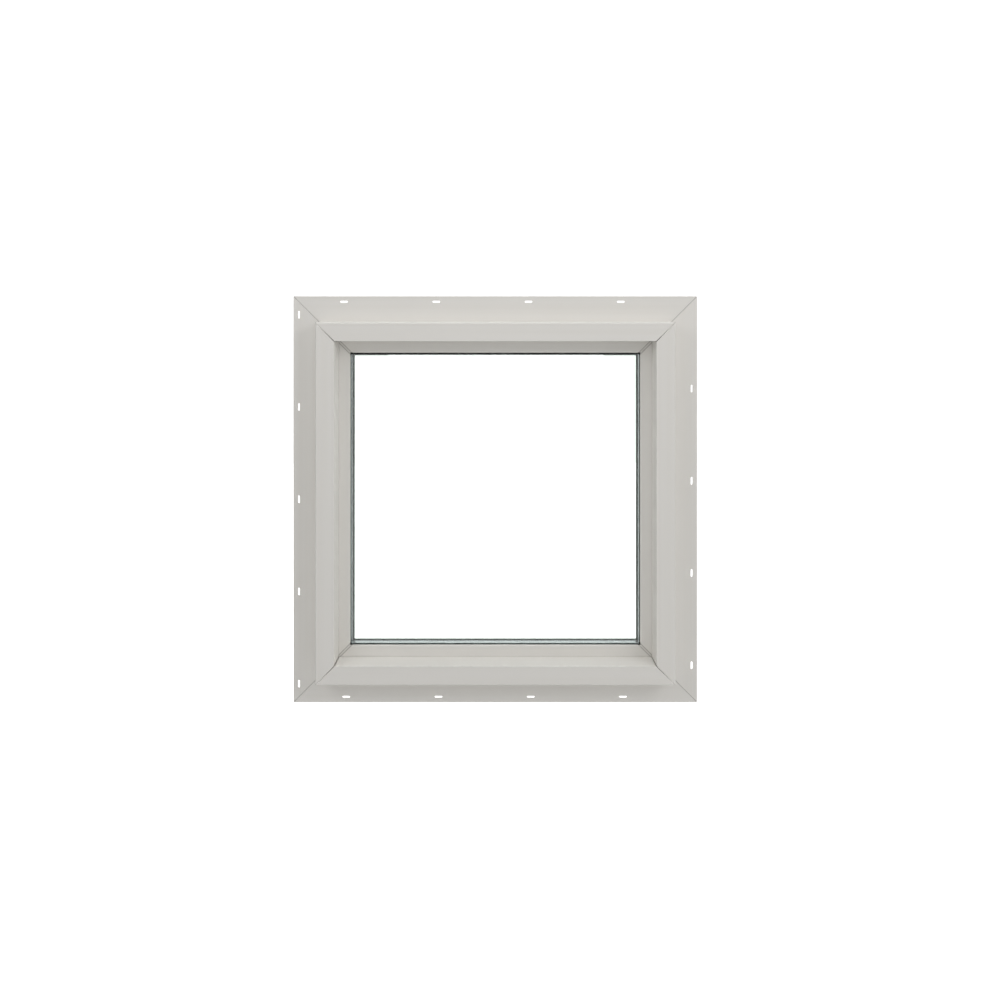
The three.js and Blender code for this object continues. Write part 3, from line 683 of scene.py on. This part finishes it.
# Nailing slots, in millimetres: their line in from the fin's edge, and one slot's place on each member.
SLOT = {"Slot length": 13.0, "Slot width": 3.2, "Slot line": 9.3, "Slot pitch": 156.0}
SLOT_AT = {"bottom": 59.9, "top": 56.2, "left": 0.0, "right": 31.2}
SLOT_MARGIN = 20.5  # from the last slot's middle to the end of the slots' line


def slots_along(side):
    """How many nailing slots fit on a member, and where the first is along it."""
    at = SLOT_AT[side]
    if side in ("left", "top"):
        at = -at
    limit = half_length(side) / MM - SLOT["Slot line"] - SLOT_MARGIN
    first = at - int((limit + at) // SLOT["Slot pitch"]) * SLOT["Slot pitch"]
    return {"Slot start": first, "Slot count": int((limit - first) // SLOT["Slot pitch"]) + 1}


def weld(ring, side, finish, material, slots=None):
    """One member of a ring of extrusions, from its CAD section."""
    node = ring[side]
    corners = section_of(node, side, SECTION_PLACE)
    piece = new_piece(node + "_extrusion", outline_mesh(node, corners))
    sizes = {name: value * MM for name, value in {**finish, **SLOT}.items()}
    sizes["Half length"] = half_length(side)
    sizes["Slot count"] = 0
    sizes["Fin depth"] = 0.0
    if slots:
        sizes["Slot count"] = slots["Slot count"]
        sizes["Slot start"] = slots["Slot start"] * MM
    grow(piece, welded_member, sizes, material)
    piece.data.transform(member_space(side))
    return piece


HOLE_SIDES = 32


def cutter(centre, size, axis=None):
    """A block to cut a pocket with or, where an axis is given, a cylinder of this radius and length."""
    form = bmesh.new()
    if axis is None:
        bmesh.ops.create_cube(form, size=1.0)
        bmesh.ops.scale(form, vec=size, verts=form.verts)
    else:
        bmesh.ops.create_cone(
            form, cap_ends=True, segments=HOLE_SIDES, radius1=size[0], radius2=size[0], depth=size[1]
        )
        turn = Vector((0, 0, 1)).rotation_difference(axis).to_matrix()
        bmesh.ops.rotate(form, matrix=turn, verts=form.verts)
    bmesh.ops.translate(form, vec=centre, verts=form.verts)
    mesh = bpy.data.meshes.new("cutter")
    form.to_mesh(mesh)
    form.free()
    return new_piece("cutter", mesh)


def cut_away(piece, tools):
    for tool in tools:
        cut = piece.modifiers.new("pocket", "BOOLEAN")
        cut.operation = "DIFFERENCE"
        cut.solver = "EXACT"
        cut.object = tool
    settle(piece)
    for tool in tools:
        bpy.data.objects.remove(tool)


def box_middle(node):
    lo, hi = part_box(node)
    return (lo + hi) / 2


POCKET_ROOM = Vector((0.6, 0.6, 2.0)) * MM  # what the pocket has over the gearbox, both sides together
POCKET_OUTLET = 3 * MM  # how far the pocket runs on past the gearbox, into the hardware groove
HOLE_OVERRUN = 2 * MM  # how far a hole's cutter sticks out at each end
HANDLE_HOLES = {
    "handle_spindle": 6.5 * MM,
    "handle_screw_1": 3 * MM,
    "handle_screw_2": 3 * MM,
}


def handle_pockets():
    """The gearbox's pocket, and the holes for the spindle and the handle's screws."""
    lo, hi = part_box("gearbox_case")
    reach = Vector((hi.x + POCKET_OUTLET, hi.y, hi.z))
    tools = [cutter((lo + reach) / 2, reach - lo + POCKET_ROOM)]
    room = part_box("sash_lock_stile")[1].y
    length = room - hi.y + 2 * HOLE_OVERRUN
    for node, radius in HANDLE_HOLES.items():
        centre = box_middle(node)
        centre.y = room + HOLE_OVERRUN - length / 2
        tools.append(cutter(centre, (radius, length), Vector((0, 1, 0))))
    return tools


for side in OUTWARD:
    vinyl = vinyl_across if OUTWARD[side].z else vinyl_upright
    frame_member = weld(FRAME, side, FRAME_WELD, vinyl, slots_along(side))
    dress(frame_member, vinyl, [FRAME[side]])
    sash_member = weld(SASH, side, SASH_WELD, vinyl)
    if side == "right":
        cut_away(sash_member, handle_pockets())
    dress(sash_member, vinyl, [SASH[side]])
    bead = weld(BEADS, side, BEAD_CUT, vinyl)
    dress(bead, vinyl, [BEADS[side]])


# ---- Screws ----


def screw_tree():
    """Countersunk screws on points that say which way each one faces."""
    sizes = ("Head radius", "Shank radius", "Length", "Thread height", "Station count", "Recess")
    tree, given = new_tree("countersunk_screws", sizes)
    far = add(tree, "ShaderNodeCombineXYZ", {"Z": sums(tree, "MULTIPLY", given["Length"], -1)})
    line = add(tree, "GeometryNodeCurvePrimitiveLine", {"Start": (0, 0, 0), "End": far.outputs[0]})
    stations = add(
        tree, "GeometryNodeResampleCurve", {"Curve": line.outputs[0], "Count": given["Station count"]}
    )
    here = add(tree, "ShaderNodeSeparateXYZ", {0: add(tree, "GeometryNodeInputPosition").outputs[0]}).outputs
    down = sums(tree, "MULTIPLY", here["Z"], -1)
    cone = sums(tree, "SUBTRACT", given["Head radius"], down)
    odd = sums(tree, "MODULO", add(tree, "GeometryNodeInputIndex").outputs[0], 2)
    core = sums(tree, "SUBTRACT", given["Shank radius"], given["Thread height"])
    ridge = sums(tree, "ADD", core, sums(tree, "MULTIPLY", odd, given["Thread height"]))
    point = sums(tree, "ADD", sums(tree, "SUBTRACT", given["Length"], down), 0.0003)
    radius = sums(tree, "MINIMUM", sums(tree, "MAXIMUM", cone, ridge), point)
    ring = add(tree, "GeometryNodeCurvePrimitiveCircle", {"Resolution": 20, "Radius": 1.0})
    shape = add(
        tree,
        "GeometryNodeCurveToMesh",
        {
            "Curve": stations.outputs[0],
            "Profile Curve": ring.outputs[0],
            "Scale": radius,
            "Fill Caps": True,
        },
    )
    arm = sums(tree, "MULTIPLY", given["Recess"], 0.26)
    long_arm = add(tree, "ShaderNodeCombineXYZ", {"X": given["Recess"], "Y": arm, "Z": given["Recess"]})
    wide_arm = add(tree, "ShaderNodeCombineXYZ", {"X": arm, "Y": given["Recess"], "Z": given["Recess"]})
    driven = add(
        tree,
        "GeometryNodeMeshBoolean",
        {"Mesh 1": shape.outputs[0]},
        operation="DIFFERENCE",
        solver="EXACT",
    )
    for arms in (long_arm, wide_arm):
        bit = add(tree, "GeometryNodeMeshCube", {"Size": arms.outputs[0]})
        tree.links.new(bit.outputs[0], driven.inputs["Mesh 2"])
    way = add(tree, "GeometryNodeInputNamedAttribute", {"Name": "way"}, data_type="FLOAT_VECTOR")
    facing = add(tree, "FunctionNodeAlignRotationToVector", {"Vector": way.outputs[0]}, axis="Z")
    screws = add(
        tree,
        "GeometryNodeInstanceOnPoints",
        {"Points": given["Geometry"], "Instance": driven.outputs[0], "Rotation": facing.outputs[0]},
    )
    close_tree(tree, given, screws.outputs[0])
    return tree


countersunk_screws = screw_tree()


def screw_head(node):
    """The middle of a CAD screw's head, the way that it faces, and its head, shank and length."""
    lo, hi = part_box(node)
    size = hi - lo
    axis = max(range(3), key=lambda k: size[k])
    others = [k for k in range(3) if k != axis]
    centre = (lo + hi) / 2

    def girth(end):
        near = [v.co for v in frame["nodes"][node].data.vertices if abs(v.co[axis] - end) < 0.2 * MM]
        return max(max(abs(p[k] - centre[k]) for k in others) for p in near)

    top = hi[axis] if girth(hi[axis]) > girth(lo[axis]) else lo[axis]
    way = Vector((0, 0, 0))
    way[axis] = 1 if top == hi[axis] else -1
    centre[axis] = top
    return centre, way, size[others[0]] / 2, size[axis]


SCREW_SHANK = 1.6 * MM  # radius, over the thread
THREAD_HEIGHT = 0.4 * MM
THREAD_PITCH = 1.0 * MM


def screws(name, nodes):
    """All the like screws of one body, as one piece."""
    heads = [screw_head(node) for node in nodes]
    mesh = bpy.data.meshes.new(name)
    mesh.from_pydata([head[0] for head in heads], [], [])
    ways = mesh.attributes.new("way", "FLOAT_VECTOR", "POINT")
    for i, head in enumerate(heads):
        ways.data[i].vector = head[1]
    piece = new_piece(name, mesh)
    _, _, head_radius, length = heads[0]
    sizes = {
        "Head radius": head_radius,
        "Shank radius": SCREW_SHANK,
        "Length": length,
        "Thread height": THREAD_HEIGHT,
        "Station count": 2 * int(length / THREAD_PITCH) + 3,
        "Recess": head_radius,
    }
    grow(piece, countersunk_screws, sizes, zinc_plate)
    return dress(piece, zinc_plate, nodes, sharp=0.5)


nodes_named = [row["node"] for row in frame["record"]["subparts"]]
screws("hinge_frame_screws", [n for n in nodes_named if "frame_screw" in n])
screws("striker_screws", [n for n in nodes_named if "striker" in n and "screw" in n])
screws("hinge_sash_screws", [n for n in nodes_named if "sash_screw" in n])
screws("faceplate_screws", [n for n in nodes_named if "faceplate_screw" in n])
screws("handle_screws", [n for n in nodes_named if "handle_screw" in n])


# ---- Seals, hinges and handle ----

# Pieces that keep their CAD shape, each with its finish and the radius of its edges in millimetres.
SOFT_EDGES = {
    "frame_weatherstrip": (grey_epdm, 0.6),
    "sash_weatherstrip": (grey_epdm, 0.5),
    "outer_glazing_gasket": (black_epdm, 0.4),
    "inner_glazing_gasket": (black_epdm, 0.4),
    "spacer_bar": (mill_aluminium, 0.5),
    "handle_lever": (white_powder, 2.2),
    "handle_base": (white_powder, 1.0),
    "handle_cover": (white_powder, 0.7),
    "lock_faceplate": (zinc_plate, 0.2),
}
for place in ("upper", "lower"):
    SOFT_EDGES[f"hinge_{place}_frame_leaf"] = (zinc_plate, 0.3)
    SOFT_EDGES[f"hinge_{place}_sash_leaf"] = (zinc_plate, 0.3)
    SOFT_EDGES[f"hinge_{place}_pin"] = (turned_stainless, 0.4)
    SOFT_EDGES[f"striker_{place}"] = (zinc_plate, 0.3)
    SOFT_EDGES[f"lock_cam_{place}"] = (zinc_plate, 0.3)
for node, (finish, radius) in SOFT_EDGES.items():
    rounded_copy(node, finish, radius)

FINISHES = {
    "grey_rubber": grey_epdm,
    "black_rubber": black_epdm,
    "clear_glass": clear_glass,
    "spacer_aluminium": mill_aluminium,
    "butyl_sealant": black_butyl,
    "hard_nylon": moulded_nylon,
    "white_enamel": white_powder,
    "stainless": turned_stainless,
    "zinc_plated_steel": zinc_plate,
}
for row in frame["record"]["subparts"]:
    finish = FINISHES.get(row["material_slot"])
    if finish:
        mesh = frame["nodes"][row["node"]].data
        mesh.materials.clear()
        mesh.materials.append(finish)


# ---- Studio ----

FLOOR_DROP = 0.9  # the floor is this far under the window
FLOOR_SIZE = 14.0
SURROUND = 0.25  # light that the white room gives the window
BACKGROUND = 1.3  # how bright the same room and floor look behind it


def brightness(tree, unseen):
    """BACKGROUND where the surface is looked at, straight or through glass, and `unseen` elsewhere."""
    path = add(tree, "ShaderNodeLightPath").outputs
    seen = sums(tree, "MAXIMUM", path["Is Camera Ray"], path["Is Transmission Ray"])
    return add(
        tree, "ShaderNodeMapRange", {"Value": seen, "To Min": unseen, "To Max": BACKGROUND}
    ).outputs["Result"]


def white_sweep():
    """Matt white paper, lit from its own side so brightly that no shadow is left on it."""
    material, tree, shader, where = new_material("white_paper_sweep")
    colour, _ = mottled(tree, where, 2.0, "#f6f6f5", "#f4f4f3")
    link(tree, colour, shader.inputs["Base Color"])
    shader.inputs["Roughness"].default_value = 0.9
    shader.inputs["Emission Color"].default_value = (1.0, 1.0, 1.0, 1.0)
    link(tree, brightness(tree, 0.0), shader.inputs["Emission Strength"])
    return material


def floor_mesh():
    mesh = bpy.data.meshes.new("floor")
    form = bmesh.new()
    bmesh.ops.create_grid(form, x_segments=8, y_segments=8, size=FLOOR_SIZE / 2)
    form.to_mesh(mesh)
    form.free()
    mesh.transform(Matrix.Translation((middle.x, 0, low.z - FLOOR_DROP)))
    mesh.materials.append(white_sweep())
    return mesh


floor = new_piece("floor", floor_mesh())

world = bpy.data.worlds.new("white_room")
world.use_nodes = True
bpy.context.scene.world = world
room = world.node_tree
room.nodes.clear()
glow = add(
    room, "ShaderNodeBackground", {"Color": (1.0, 1.0, 0.995, 1.0), "Strength": brightness(room, SURROUND)}
)
add(room, "ShaderNodeOutputWorld", {"Surface": glow.outputs["Background"]})


# Each light: its place from the window's middle, its side in metres, and its power in watts.
SOFTBOXES = {
    "right": ((1.6, -1.2, 1.2), 1.0, 11.4),
    "left": ((-1.6, -1.2, 1.2), 1.0, 9.5),
    "overhead": ((0.0, -0.3, 2.0), 1.2, 8.6),
    "front": ((0.0, -2.2, 1.5), 1.6, 3.2),
    "side": ((2.4, -0.5, 0.2), 1.4, 4.8),
    "low": ((0.0, -2.5, -0.1), 1.0, 3.8),
    "room_key": ((1.3, 1.6, 1.5), 0.7, 34.0),
    "room_fill": ((-1.8, 2.0, 0.4), 1.4, 9.0),
}


def softbox(name, place, size, power):
    """A square area light that faces the window's middle."""
    data = bpy.data.lights.new(name, "AREA")
    data.shape = "SQUARE"
    data.size = size
    data.energy = power
    lamp = bpy.data.objects.new(name, data)
    lamp.location = place
    lamp.rotation_euler = (middle - place).to_track_quat("-Z", "Y").to_euler()
    bpy.context.scene.collection.objects.link(lamp)


for name, (place, size, power) in SOFTBOXES.items():
    softbox(name + "_softbox", middle + Vector(place), size, power)

bpy.context.scene.view_settings.view_transform = "Standard"
